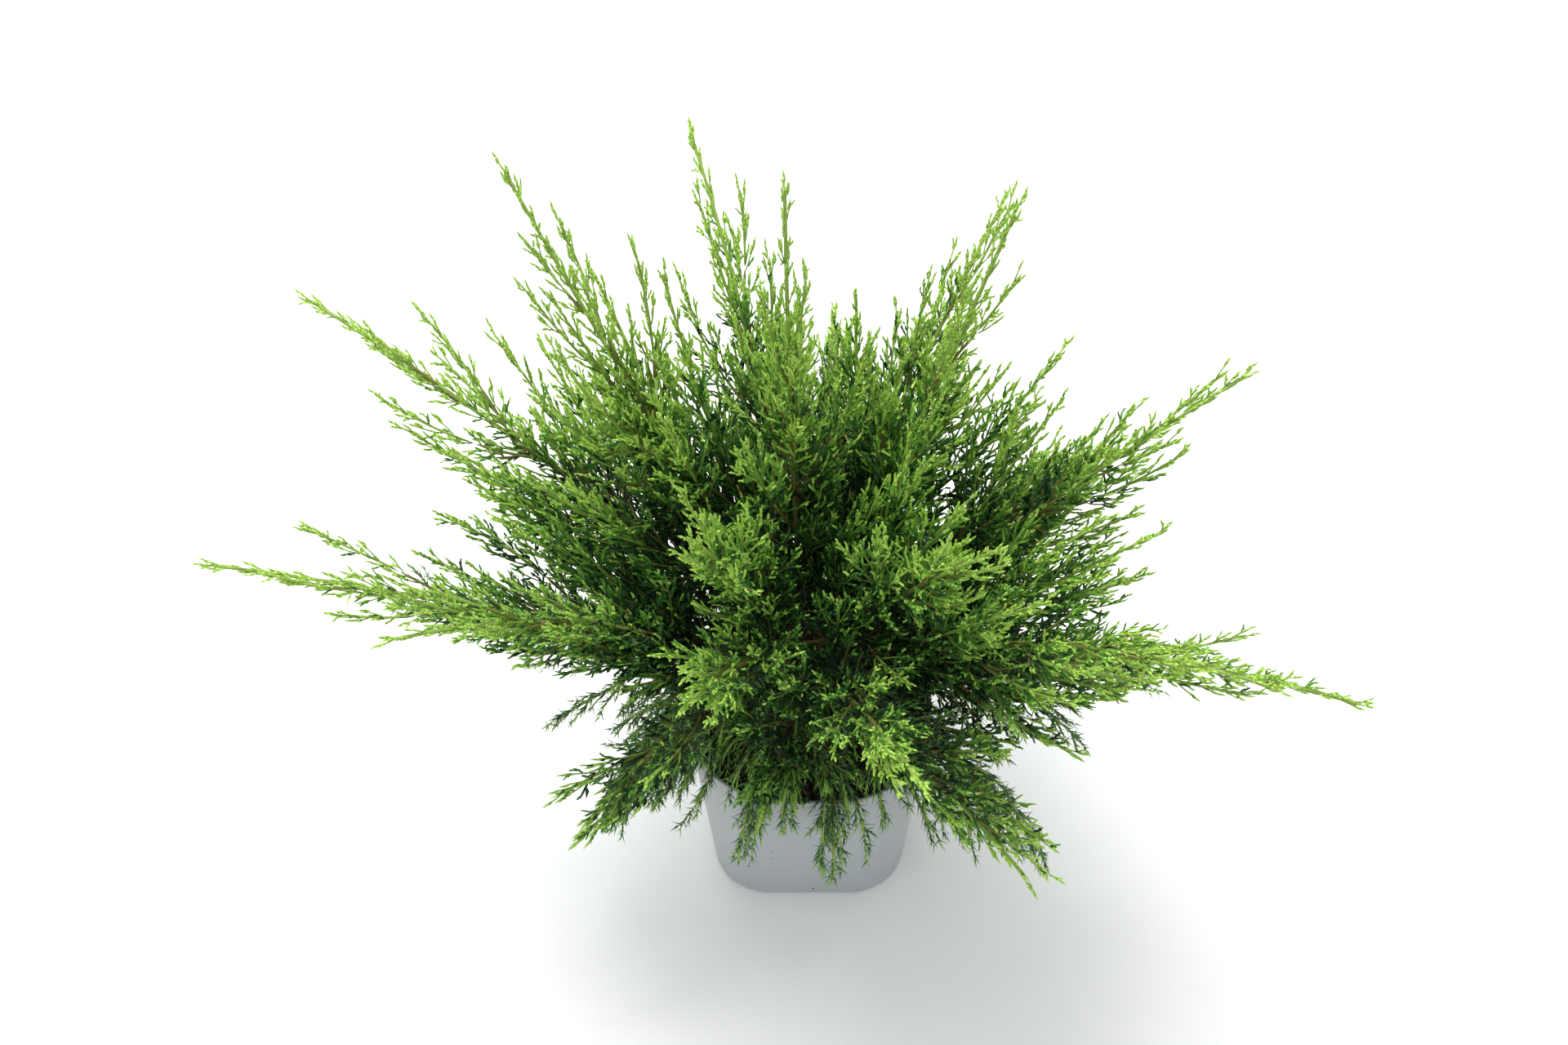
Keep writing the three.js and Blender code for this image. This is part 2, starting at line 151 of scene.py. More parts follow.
# The pot: a thin nursery pot of pale grey polypropylene, injection moulded in one shot. It is squarer at
# the foot than at the rim, stands on a narrow foot ring, and has four drain holes in its floor.
POT_HEIGHT = 118
RIM_ACROSS = 130
RIM_CORNER = 52
FOOT_ACROSS = 104
FOOT_CORNER = 30
POT_WALL = 1.6
POT_FLOOR = 2
FOOT_RING = 7
FOOT_RECESS = 0.9
FOOT_BEVEL = 1.2
FOOT_ROUNDING = 2.4
INNER_ROUNDING = 3.5
LAST_INSET = FOOT_CORNER - 4
LIP_BEAD = 0.5
DRAIN_HOLE_RADIUS = 5
DRAIN_HOLE_OFFSET = 32
DRILL_SIDES = 32
DRILL_HEIGHTS = (-3, 6)
CORNER_STEPS = 18
WALL_RINGS = 24
SHARP_ANGLE = np.radians(40)
POT_GREY = "#aeb3b4"
POT_GREY_CLOUD = "#a3a9ab"
POT_SPECK = "#55534f"
SPECK_CELLS = 100.0
SPECK_SIZE = {1: 0.36, 2: -0.11}


def between(first, last, share):
    """A value that goes evenly from the first, at a share of 0, to the last, at 1."""
    return first + (last - first) * share


def pot_square(height):
    """Half the pot's width at a height, and its corner radius there."""
    share = np.clip(height / POT_HEIGHT, 0, 1)
    return between(FOOT_ACROSS, RIM_ACROSS, share) / 2, between(FOOT_CORNER, RIM_CORNER, share)


def pot_outline(height, inset):
    """Points round the pot's rounded square at a height, taken in by an inset: four corner arcs whose
    centres stand half the width less the corner radius off the axis, joined by straight sides."""
    half, corner = pot_square(height)
    turn = (np.arange(4)[:, None] + np.linspace(0, 1, CORNER_STEPS)) * np.pi / 2
    middle = (np.arange(4)[:, None] + 0.5) * np.pi / 2
    across = np.sqrt(2) * (half - corner)
    x = across * np.cos(middle) + (corner - inset) * np.cos(turn)
    y = across * np.sin(middle) + (corner - inset) * np.sin(turn)
    return np.stack([x.ravel(), y.ravel()], axis=1)


def closed_surface(rings, first_pole, last_pole):
    """Points and outward triangles of equal rings, one above the other, with a pole at each end."""
    count, sides = rings.shape[:2]
    points = np.concatenate([[first_pole], rings.reshape(-1, 3), [last_pole]])
    here = 1 + np.arange(sides)
    beside = 1 + (np.arange(sides) + 1) % sides
    lower = (np.arange(count - 1) * sides)[:, None]
    triangles = np.concatenate(
        [
            np.stack([np.zeros(sides, int), beside, here], axis=1),
            np.stack([here + lower, beside + lower, beside + lower + sides], axis=2).reshape(-1, 3),
            np.stack([here + lower, beside + lower + sides, here + lower + sides], axis=2).reshape(-1, 3),
            np.stack(
                [np.full(sides, len(points) - 1), here + (count - 1) * sides, beside + (count - 1) * sides],
                axis=1,
            ),
        ]
    )
    return points, triangles


def join(parts):
    """Lay sets of equal forms end to end: a set has points by form and corner, and a form's triangles."""
    points = []
    triangles = []
    start = 0
    for forms, faces in parts:
        count, corners = forms.shape[:2]
        points.append(forms.reshape(-1, 3))
        triangles.append((faces + start + np.arange(count)[:, None, None] * corners).reshape(-1, 3))
        start += count * corners
    return np.concatenate(points), np.concatenate(triangles)


def noise(tree, scale, detail, roughness=0.5, distortion=0.0):
    """A noise from 0 to 1 in the piece's own space, its scale in waves to the metre."""
    settings = {"Scale": scale, "Detail": detail, "Roughness": roughness, "Distortion": distortion}
    place = add_node(tree, "ShaderNodeTexCoord").outputs["Object"]
    return add_node(tree, "ShaderNodeTexNoise", settings, {"Vector": place}).outputs["Fac"]


def blend(tree, first, second, share):
    """A colour between two: the first, plain or from a node, at a share of 0, and the second at 1."""
    mix = add_node(tree, "ShaderNodeMix", {"data_type": "RGBA", 7: linear(second)}, {0: share})
    if isinstance(first, str):
        mix.inputs[6].default_value = linear(first)
    else:
        tree.links.new(first, mix.inputs[6])
    return mix.outputs[2]


# The wall's profile as insets from the outside, with heights: underside, foot ring, outside, lip, inside
# and floor. The last inset is that of the rings next to the middle of the floor, above and below.
quarter = np.linspace(0, np.pi / 2, 6)
half_turn = np.linspace(0, np.pi, 9)
wall_heights = np.linspace(FOOT_ROUNDING, POT_HEIGHT - POT_WALL, WALL_RINGS)
lip = POT_WALL / 2 + LIP_BEAD / 2
pot_profile = np.concatenate(
    [
        [[LAST_INSET, FOOT_RECESS], [FOOT_RING + FOOT_BEVEL, FOOT_RECESS], [FOOT_RING, 0]],
        np.stack([FOOT_ROUNDING * (1 - np.sin(quarter)), FOOT_ROUNDING * (1 - np.cos(quarter))], axis=1),
        np.stack([np.zeros(WALL_RINGS - 1), wall_heights[1:]], axis=1),
        np.stack([lip * (1 - np.cos(half_turn)), POT_HEIGHT - lip * (1 - np.sin(half_turn))], axis=1),
        np.stack([np.full(WALL_RINGS - 1, POT_WALL), wall_heights[:0:-1] - POT_WALL], axis=1),
        [[POT_WALL + 1.5, POT_FLOOR + 0.6], [POT_WALL + INNER_ROUNDING, POT_FLOOR]],
        [[LAST_INSET, POT_FLOOR]],
    ]
)
pot_rings = np.stack(
    [
        np.column_stack([pot_outline(height, inset), np.full(4 * CORNER_STEPS, height)])
        for inset, height in pot_profile
    ]
)

# Moulded polypropylene: a soft satin skin, faintly uneven from the mould, with a few specks of potting
# dirt. A speck shows where the skin runs near the middle of one of the cells, which are a centimetre
# across: nearer than a slow noise times the first value of SPECK_SIZE plus the second.
polypropylene, tree = new_material("moulded grey polypropylene")
place = add_node(tree, "ShaderNodeTexCoord")
cell = {"Scale": SPECK_CELLS, "Randomness": 1.0}
cells = add_node(tree, "ShaderNodeTexVoronoi", cell, {"Vector": place.outputs["Object"]})
speck_size = {"operation": "MULTIPLY_ADD", **SPECK_SIZE}
speck_edge = add_node(tree, "ShaderNodeMath", speck_size, {0: noise(tree, 45.0, 1.0)})
speck_mask = add_node(
    tree,
    "ShaderNodeMath",
    {"operation": "LESS_THAN"},
    {0: cells.outputs["Distance"], 1: speck_edge.outputs["Value"]},
)
grey = blend(tree, POT_GREY, POT_GREY_CLOUD, noise(tree, 22.0, 3.0))
skin = blend(tree, grey, POT_SPECK, speck_mask.outputs["Value"])
satin = {"Roughness": 0.42, "IOR": 1.49, "Specular IOR Level": 0.45}
add_surface(tree, satin, {"Base Color": skin}, noise(tree, 900.0, 2.0), 0.06, 0.0002)

pot_points, pot_triangles = closed_surface(
    pot_rings, np.array([0, 0, FOOT_RECESS]), np.array([0, 0, POT_FLOOR])
)
pot = add_mesh("nursery_pot", pot_points, pot_triangles, polypropylene, True)
drill_turn = np.linspace(0, 2 * np.pi, DRILL_SIDES, endpoint=False)
drill_ring = DRAIN_HOLE_RADIUS * np.stack([np.cos(drill_turn), np.sin(drill_turn)], axis=1)
drill_parts = []
for x in (-DRAIN_HOLE_OFFSET, DRAIN_HOLE_OFFSET):
    for y in (-DRAIN_HOLE_OFFSET, DRAIN_HOLE_OFFSET):
        ends = [np.column_stack([drill_ring + (x, y), np.full(DRILL_SIDES, z)]) for z in DRILL_HEIGHTS]
        poles = [np.array([x, y, z]) for z in DRILL_HEIGHTS]
        drill_parts.append(closed_surface(np.stack(ends), *poles))
drill_forms = np.stack([points for points, _ in drill_parts]), drill_parts[0][1]
drill = add_mesh("drill", *join([drill_forms]), polypropylene, True)
cut = pot.modifiers.new("drain_holes", "BOOLEAN")
cut.operation = "DIFFERENCE"
cut.solver = "EXACT"
cut.object = drill
drilled = bpy.data.meshes.new_from_object(pot.evaluated_get(bpy.context.evaluated_depsgraph_get()))
pot.modifiers.clear()
pot.data = drilled
bpy.data.objects.remove(drill)
pot.data.set_sharp_from_angle(angle=SHARP_ANGLE)
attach(pot, "root")
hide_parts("pot")

# The potting soil: dark moist peat that fills the pot to a finger's width under the rim. Its top is lumpy,
# with loose crumbs and a few chips of bark mulch.
SOIL_LEVEL = 107
SOIL_RINGS = 46
SOIL_INSET = POT_WALL + 0.35
SOIL_FOOT = 2.3
SOIL_SIDE = (SOIL_FOOT, 40, 75, 95)
SOIL_SETTLED = 1.2
DRAWN_DOWN = 1.4
SOIL_RADIUS = 60
LUMP_WAVES = 12
LUMP_GAIN = 1.8
CRUMBS = 1500
CRUMB_SIZES = (0.5, 1.9)
CRUMB_REACH = 56
CHIPS = 90
CHIP_SIZES = (1.4, 4)
CHIP_REACH = 54
PEAT_DARK = "#1b130e"
PEAT_LIGHT = "#35271c"
CHIP_DARK = "#3d2818"
CHIP_BROWN = "#573a24"
draw = np.random.default_rng(7)


def unit(vectors):
    """Vectors divided by their own length."""
    return vectors / np.linalg.norm(vectors, axis=-1, keepdims=True)


def lumps(x, y, wavelength, seed):
    """A gentle uneven height, mostly from -1 to 1: the mean of waves near one length that run in seeded
    directions, times a gain."""
    waves = np.random.default_rng(seed)
    turn = waves.uniform(0, 2 * np.pi, LUMP_WAVES)
    pace = 2 * np.pi / (wavelength * waves.uniform(0.6, 1.6, LUMP_WAVES))
    phase = waves.uniform(0, 2 * np.pi, LUMP_WAVES)
    along = x[..., None] * np.cos(turn) + y[..., None] * np.sin(turn)
    return np.sin(along * pace + phase).mean(axis=-1) * LUMP_GAIN


def soil_height(x, y):
    """The soil's top: its level with wide and narrow lumps on it, drawn down a little at the wall."""
    to_wall = np.clip(np.hypot(x, y) / SOIL_RADIUS, 0, 1)
    rough = 1.5 * lumps(x, y, 26, 1) + 0.9 * lumps(x, y, 8, 2) + 0.5 * lumps(x, y, 3.5, 3)
    return SOIL_LEVEL - SOIL_SETTLED + rough - DRAWN_DOWN * to_wall**6


soil_edge = pot_outline(SOIL_LEVEL, SOIL_INSET)
soil_side = [
    np.column_stack([pot_outline(z, SOIL_INSET), np.full(4 * CORNER_STEPS, z)]) for z in SOIL_SIDE
]
soil_top = []
for share in np.linspace(1, 1 / SOIL_RINGS, SOIL_RINGS):
    ring = soil_edge * share
    soil_top.append(np.column_stack([ring, soil_height(ring[:, 0], ring[:, 1])]))
soil_poles = [np.array([0, 0, z]) for z in (SOIL_FOOT, SOIL_LEVEL - SOIL_SETTLED)]
soil_points, soil_triangles = closed_surface(np.stack(soil_side + soil_top), *soil_poles)


def pebbles(centres, sizes, flatness):
    """Rough lumps of eight faces: octahedra of three sizes, turned by chance, with uneven corners."""
    corners = np.array([[1, 0, 0], [-1, 0, 0], [0, 1, 0], [0, -1, 0], [0, 0, 1], [0, 0, -1]], float)
    upper = [[0, 2, 4], [2, 1, 4], [1, 3, 4], [3, 0, 4]]
    lower = [[2, 0, 5], [1, 2, 5], [3, 1, 5], [0, 3, 5]]
    count = len(centres)
    turn = draw.uniform(0, 2 * np.pi, count)
    tilt = draw.uniform(-0.5, 0.5, (count, 1))
    shaped = corners * draw.uniform(0.7, 1.2, (count, 6, 1)) * sizes[:, None] * (1, 1, flatness)
    x = shaped[..., 0] * np.cos(turn)[:, None] - shaped[..., 1] * np.sin(turn)[:, None]
    y = shaped[..., 0] * np.sin(turn)[:, None] + shaped[..., 1] * np.cos(turn)[:, None]
    z = shaped[..., 2] + tilt * x
    return np.stack([x, y, z], axis=2) + centres[:, None], np.array(upper + lower)


def scattered(count, reach):
    """Seeded places on the soil's top, even over a disc of that reach."""
    radius = reach * np.sqrt(draw.uniform(0.01, 1, count))
    turn = draw.uniform(0, 2 * np.pi, count)
    x = radius * np.cos(turn)
    y = radius * np.sin(turn)
    return np.stack([x, y, soil_height(x, y)], axis=1)


crumb_places = scattered(CRUMBS, CRUMB_REACH)
crumbs = pebbles(crumb_places, draw.uniform(*CRUMB_SIZES, (CRUMBS, 1)) * (1.2, 1, 1), 0.8)
chip_places = scattered(CHIPS, CHIP_REACH) + (0, 0, 0.6)
chips = pebbles(chip_places, draw.uniform(*CHIP_SIZES, (CHIPS, 1)) * (1.7, 0.8, 1), 0.35)

# Moist peat: nearly black between the crumbs, brown where a fibre has dried, with no shine
peat, tree = new_material("moist peat")
fibre = noise(tree, 260.0, 6.0, roughness=0.7)
brown = blend(tree, PEAT_DARK, PEAT_LIGHT, fibre)
add_surface(tree, {"Roughness": 0.95}, {"Base Color": brown}, fibre, 0.6, 0.0006)
soil = add_mesh("potting_mix", *join([(soil_points[None], soil_triangles), crumbs]), peat, False)
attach(soil, "root")
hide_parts("potting_soil")

# Bark mulch: dry reddish brown chips, their faces torn along the grain
mulch, tree = new_material("dry bark mulch")
grain = noise(tree, 500.0, 4.0)
brown = blend(tree, CHIP_DARK, CHIP_BROWN, grain)
add_surface(tree, {"Roughness": 0.9}, {"Base Color": brown}, grain, 0.5, 0.0004)
chip_piece = add_mesh("mulch_chips", *join([chips]), mulch, False)
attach(chip_piece, "root")
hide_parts("potting_soil")

# The woody stem and its boughs: one short leaning stem that flares at the soil and forks low into arching
# boughs, each swollen a little at its collar. The bark is thin and brown, and peels in narrow lengthwise
# strips.
TRUNK_HEIGHT = 66
TRUNK_SUNK = 2.0
TRUNK_FOOT_RADIUS = 5.6
TRUNK_TIP_RADIUS = 3.4
ROOT_FLARE = 3.2
ROOT_FLARE_HEIGHT = 7
ROOT_TOES = 5
TOE_DEPTH = 0.35
TOE_PHASE = 0.7
TRUNK_LEAN = np.array([-4, 5])
BOUGH_FOOT_RADIUS = 2.3
STEM_FOOT_RADIUS = 1.5
STEM_TIP_RADIUS = 0.9
BOUGH_BEND = 5
LEADER_SAMPLES = 101
STRIP_WAVES = 10
STRIP_DRIFT = 0.09
STRIP_RIPPLE = 0.25
BARK_BROWN = "#66482f"
BARK_DARK = "#33241a"
BARK_GREY = "#85735f"

# Bare length of bough in each tier, before its mass of foliage
BARE = {"skirt": 48, "low": 64, "side": 60, "high": 56, "top": 0}

# Each bough with its mass: tier and side, height on the stem, compass angle, reach and rise of its tip, and
# rise of its arch
BOUGHS = [
    ("skirt", "front_left", 8, 195, 114, -75, 84),
    ("skirt", "front", 4, 244, 88, -29, 84),
    ("skirt", "front_right", 5, 278, 90, -29, 84),
    ("skirt", "right", 9, 330, 142, -38, 62),
    ("skirt", "back_right", 6, 62, 136, -40, 62),
    ("skirt", "back_left", 5, 106, 140, -38, 62),
    ("low", "left", 22, 173, 318, 58, 74),
    ("low", "front_left", 17, 220, 150, 24, 76),
    ("low", "front", 13, 256, 110, 45, 84),
    ("low", "front_right", 18, 307, 176, 48, 80),
    ("low", "right", 23, 350, 284, 58, 84),
    ("low", "back_right", 14, 39, 216, 46, 76),
    ("low", "back", 19, 84, 206, 52, 80),
    ("low", "back_left", 12, 129, 218, 48, 78),
    ("side", "left", 38, 152, 292, 138, 118),
    ("side", "front_left", 28, 199, 214, 142, 122),
    ("side", "front", 37, 244, 134, 152, 128),
    ("side", "front_right", 27, 288, 164, 150, 126),
    ("side", "right", 40, 332, 246, 156, 122),
    ("side", "back_right", 31, 17, 226, 172, 118),
    ("side", "back", 25, 61, 204, 178, 120),
    ("side", "back_left", 33, 106, 222, 186, 122),
    ("high", "left", 52, 145, 178, 262, 128),
    ("high", "front", 48, 233, 92, 208, 122),
    ("high", "right", 51, 313, 126, 222, 120),
    ("high", "back", 54, 39, 128, 256, 126),
    ("top", "whip", 66, 99, 62, 278, 120),
]
tiers = np.array([row[0] for row in BOUGHS])


class Axes(namedtuple("Axes", "root run bend normal")):
    """The middle lines of many limbs at once: at a share s from 0 to 1 each lies at root + run s + bend s s
    and heads along run + 2 bend s. The normal is the side of a limb that faces the light."""

    def point(self, which, share):
        """Points on limbs at a share."""
        share = np.asarray(share)[..., None]
        return self.root[which] + self.run[which] * share + self.bend[which] * share**2

    def tangent(self, which, share):
        """Unit vectors along limbs at a share."""
        return unit(self.run[which] + 2 * self.bend[which] * np.asarray(share)[..., None])

    def tips(self):
        """Where limbs end."""
        return self.root + self.run + self.bend

    def length(self):
        """The straight lengths from root to tip."""
        return np.linalg.norm(self.run + self.bend, axis=1)

    def picked(self, which):
        """Some of the limbs, by number or by a row of true and false."""
        return Axes(*(part[which] for part in self))


def tubes(axes, shares, radii, twist=0.0):
    """Closed tubes along axes: a ring lies round the axis at each share but the first and last, which are
    the poles. Corner k of a ring of K is turned by k / K of a turn plus the ring's number times the twist,
    and stands its own radius off the axis. shares is axis by ring, or one row for all; radii is axis by
    ring by corner."""
    which = np.arange(len(axes.root))[:, None]
    centre = axes.point(which, shares)
    along = axes.tangent(which, shares)[:, 1:-1]
    across = unit(np.cross(axes.normal[:, None], along))
    outward = np.cross(along, across)
    rings, sides = radii.shape[1:]
    turn = 2 * np.pi * np.arange(sides) / sides + twist * np.arange(rings)[:, None]
    off_x = (np.cos(turn) * radii)[..., None] * across[:, :, None]
    off_y = (np.sin(turn) * radii)[..., None] * outward[:, :, None]
    ring_points = (centre[:, 1:-1, None] + off_x + off_y).reshape(len(centre), -1, 3)
    points = np.concatenate([centre[:, :1], ring_points, centre[:, -1:]], axis=1)
    faces = closed_surface(np.zeros((rings, sides, 3)), np.zeros(3), np.zeros(3))[1]
    return points, faces


def compass(angle):
    """Level unit vectors at compass angles in degrees, 0 to the right and 270 to the front."""
    return np.stack([np.cos(np.radians(angle)), np.sin(np.radians(angle)), 0 * angle], axis=-1)


def arches(start, middle, end):
    """Axes that follow the quadratic curves drawn by three control points: run is twice the first leg, and
    bend is the second leg less the first."""
    across = np.cross(middle - start, end - middle)
    flat = np.linalg.norm(across, axis=1) < 1e-6
    across[flat] = np.cross(end - start, [0, 0, 1])[flat]
    along = unit(end - start)
    return Axes(start, 2 * (middle - start), start - 2 * middle + end, unit(np.cross(along, unit(across))))


trunk_axis = arches(
    np.array([[0, 0, SOIL_LEVEL - TRUNK_SUNK]]),
    np.array([[0, 0, SOIL_LEVEL + TRUNK_HEIGHT / 2]]),
    np.array([[*TRUNK_LEAN, SOIL_LEVEL + TRUNK_HEIGHT]]),
)
heights, angles, reaches, tips, arch_rises = np.array([row[2:] for row in BOUGHS], float).T
starts = trunk_axis.point(0, heights / TRUNK_HEIGHT)
side_bends = np.where(np.arange(len(BOUGHS)) % 2, -BOUGH_BEND, BOUGH_BEND)
middles = starts + compass(angles + side_bends) * reaches[:, None] / 2 + arch_rises[:, None] * (0, 0, 1)
ends = starts + compass(angles) * reaches[:, None] + tips[:, None] * (0, 0, 1)
leaders = arches(starts, middles, ends)
sampled = leaders.point(np.arange(len(BOUGHS))[:, None], np.linspace(0, 1, LEADER_SAMPLES))
leader_lengths = np.linalg.norm(np.diff(sampled, axis=1), axis=2).sum(axis=1)
bare_shares = np.array([BARE[tier] for tier in tiers]) / leader_lengths


def bark_relief(count, rings, sides, length, depth, seed):
    """Factors on a limb's radius for peeling bark: one plus a depth times a relief. The relief is the tanh
    of half the sum of waves that go round the limb a whole number of times and drift along it, so that
    strips stand between narrow furrows, with a fine ripple on it."""
    waves = np.random.default_rng(seed)
    turn = 2 * np.pi * np.arange(sides) / sides
    along = np.linspace(0, length, rings)
    relief = 0
    for _ in range(STRIP_WAVES):
        round_count = waves.integers(2, max(3, sides // 3))
        drift = waves.normal(0, STRIP_DRIFT, (count, 1, 1))
        phase = waves.uniform(0, 2 * np.pi, (count, 1, 1))
        relief = relief + np.sin(round_count * turn + drift * along[:, None] + phase)
    ripple = waves.normal(0, STRIP_RIPPLE, (count, rings, sides))
    return 1 + depth * (np.tanh(relief / 2) + ripple)


TRUNK_RINGS = 90
TRUNK_SIDES = 40
trunk_shares = np.linspace(0, 1, TRUNK_RINGS + 2)
inner_shares = trunk_shares[1:-1]
trunk_taper = between(TRUNK_FOOT_RADIUS, TRUNK_TIP_RADIUS, inner_shares)
flare = ROOT_FLARE * np.exp(-inner_shares * TRUNK_HEIGHT / ROOT_FLARE_HEIGHT)
trunk_turn = np.linspace(0, 2 * np.pi, TRUNK_SIDES, endpoint=False)
toes = 1 + TOE_DEPTH * np.sin(ROOT_TOES * trunk_turn + TOE_PHASE)
trunk_radii = trunk_taper[:, None] + flare[:, None] * toes
trunk_radii = trunk_radii * bark_relief(1, TRUNK_RINGS, TRUNK_SIDES, TRUNK_HEIGHT, depth=0.06, seed=21)
trunk_tube = tubes(trunk_axis, trunk_shares, trunk_radii)

BOUGH_RINGS = 40
BOUGH_SIDES = 12
COLLAR = 0.9
COLLAR_FADE = 9
boughs = np.flatnonzero(bare_shares > 0)
bough_steps = np.linspace(0, 1, BOUGH_RINGS + 2)
bough_taper = between(BOUGH_FOOT_RADIUS, STEM_FOOT_RADIUS, bough_steps[1:-1])
bough_taper = bough_taper + COLLAR * np.exp(-bough_steps[1:-1] * COLLAR_FADE)
bough_relief = bark_relief(len(boughs), BOUGH_RINGS, BOUGH_SIDES, length=60, depth=0.09, seed=22)
bough_radii = bough_taper[:, None] * bough_relief
bough_tubes = tubes(leaders.picked(boughs), bare_shares[boughs, None] * bough_steps, bough_radii)

# Young juniper bark: dull red-brown strips with grey weathered edges and dark furrows between them
bark, tree = new_material("peeling juniper bark")
strips = noise(tree, 420.0, 5.0, roughness=0.65, distortion=0.6)
grey_share = add_node(
    tree, "ShaderNodeMapRange", {"From Min": 0.55, "From Max": 0.8}, {"Value": noise(tree, 90.0, 3.0)}
)
brown = blend(tree, BARK_DARK, BARK_BROWN, strips)
skin = blend(tree, brown, BARK_GREY, grey_share.outputs["Result"])
add_surface(tree, {"Roughness": 0.85}, {"Base Color": skin}, strips, 0.7, 0.0005)
wood = add_mesh("stem_and_boughs", *join([trunk_tube, bough_tubes]), bark, True)
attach(wood, "root")
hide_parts("trunk", *("bough_%s_%s" % BOUGHS[i][:2] for i in boughs))

# The leaders: every bough runs on through its mass of foliage to a long thin whip. The wood is brown where
# it enters the mass, tan further out, and still green towards the tip.
MASS_NODES = ["foliage_%s_%s" % row[:2] for row in BOUGHS]
STEM_RINGS = 22
STEM_SIDES = 7
STEM_FROM = 0.98
STEM_TAPER = 0.8
BROWN_UNTIL = 0.26
TAN_UNTIL = 0.56
LAP = 0.01
TAN_WOOD = "#77783a"
GREEN_WOOD = "#8aa548"


def stem_tubes(first, last, seed):
    """The leaders' stems between two shares of their mass. They start a little inside the bare bough, and
    taper from foot to tip by a power of the share."""
    steps = np.linspace(first, last, STEM_RINGS + 2)
    shares = between(bare_shares[:, None] * STEM_FROM, 1, steps)
    radii = between(STEM_FOOT_RADIUS, STEM_TIP_RADIUS, steps[1:-1] ** STEM_TAPER)
    relief = bark_relief(len(BOUGHS), STEM_RINGS, STEM_SIDES, length=80, depth=0.06, seed=seed)
    return tubes(leaders, shares, radii[:, None] * relief)


brown_stems = add_mesh("leader_stems_brown", *join([stem_tubes(0, BROWN_UNTIL, 31)]), bark, True)
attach(brown_stems, "root")
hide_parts(*MASS_NODES)


def leaf_skin(name, colour, roughness, grain, bump):
    """A leaf or green wood: one plain base colour with a faint waxy coat, and a fine grain in its gloss and
    bump whose size is given in waves to the metre."""
    material, tree = new_material(name)
    scales = noise(tree, grain, 2.0)
    uneven = {"To Min": roughness - 0.1, "To Max": roughness + 0.1}
    gloss = add_node(tree, "ShaderNodeMapRange", uneven, {"Value": scales}).outputs["Result"]
    waxy = {"Base Color": linear(colour), "Specular IOR Level": 0.35}
    add_surface(tree, waxy, {"Roughness": gloss}, scales, bump, 0.0003)
    return material


# Half-ripe wood: tan with a green cast, smooth between the old scale leaves. Green wood is this year's.
tan_wood = leaf_skin("half-ripe tan wood", TAN_WOOD, 0.6, 700.0, 0.4)
green_wood = leaf_skin("green twig wood", GREEN_WOOD, 0.55, 900.0, 0.4)
for name, first, last, wood_skin in (
    ("leader_stems_tan", BROWN_UNTIL - LAP, TAN_UNTIL, tan_wood),
    ("leader_stems_green", TAN_UNTIL - LAP, 1, green_wood),
):
    piece = add_mesh(name, *join([stem_tubes(first, last, 32)]), wood_skin, True)
    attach(piece, "root")
    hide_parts(*MASS_NODES)

# The forks: lesser leaders, long and slim, tan at the foot and green beyond. Each grows out of its leader,
# set round it by the golden angle, and runs forward beside it to a lesser whip. On the skirt, and round the
# feet of the low boughs, they are short and hang. All keep off the pot and the floor.
FORK_SPACING = 17.5
HANGING_FORK_SPACING = 6.0
HANGING_FROM = 0.6
HANGING_UNTIL = 1.4
HANGING_FAN = 1.45
LONGEST_HANGING_FORK = 68
HANGING_SHARE = 0.3
HANGING_BASE = 24
HANGING_SHRINK = 0.4
HANGING_FORK_LIFT = -0.55
FORKS_FROM = 0.34
FORKS_UNTIL = 0.68
FORK_SHARE = 0.56
FORK_SHRINK = 0.36
FORK_LIFT = 0.08
LONGEST_FORK = 128
SHORTEST_FORK = 20
SHORTEST_OUTER_FORK = 58
FORK_ANGLE = 54
FORK_ANGLE_AT_TIP = 15
TURN_OF_TWIGS = 137.5
POT_CLEARANCE = 1.5
SKIRT_HEM = 24
CROWN_HEM = 82
HEM_AT_AXIS = 29
HEM_RISE = 1.376
OPEN_FRONT = 62
OPEN_FRONT_FADE = 18
FRINGE_HEIGHT = 76
FORK_ABOVE_HEM = 4
HANGING_FORK_ABOVE_HEM = 9
SECOND_LEADER_EVERY = 2
SECOND_LEADERS_UNTIL = 0.5
SECOND_LEADER_LEAN = 0.6
SECOND_LEADER_SHARE = 0.84
LONGEST_SECOND_LEADER = 190
FITTING_STEPS = 8
FITTING_SHRINK = 0.78
DOME_HEART = np.array([0, 8, 116])
DOME_REACH = np.array([166, 156, 204])
grow = np.random.default_rng(19)


def pot_room(points):
    """How far points stand over the rim or outside the pot's rounded square at their height."""
    half, corner = pot_square(points[..., 2])
    beyond = np.clip(np.abs(points[..., :2]) - (half - corner)[..., None], 0, None)
    return np.maximum(points[..., 2] - POT_HEIGHT, np.linalg.norm(beyond, axis=-1) - corner)


def hem(points, hangs):
    """The height that foliage hangs down to: what hangs is low beside the pot, but over its front it is
    only a fringe, and there all else rises from the rim outwards, because the lowest boughs grew short."""
    forward = -points[..., 1]
    aside = np.abs(points[..., 0])
    front = np.clip((OPEN_FRONT + OPEN_FRONT_FADE - aside) / OPEN_FRONT_FADE, 0, 1) * (forward > 0)
    lowest = np.where(hangs, SKIRT_HEM, CROWN_HEM)
    over_front = np.where(hangs, FRINGE_HEIGHT, HEM_AT_AXIS + HEM_RISE * forward)
    return between(lowest, over_front, front)


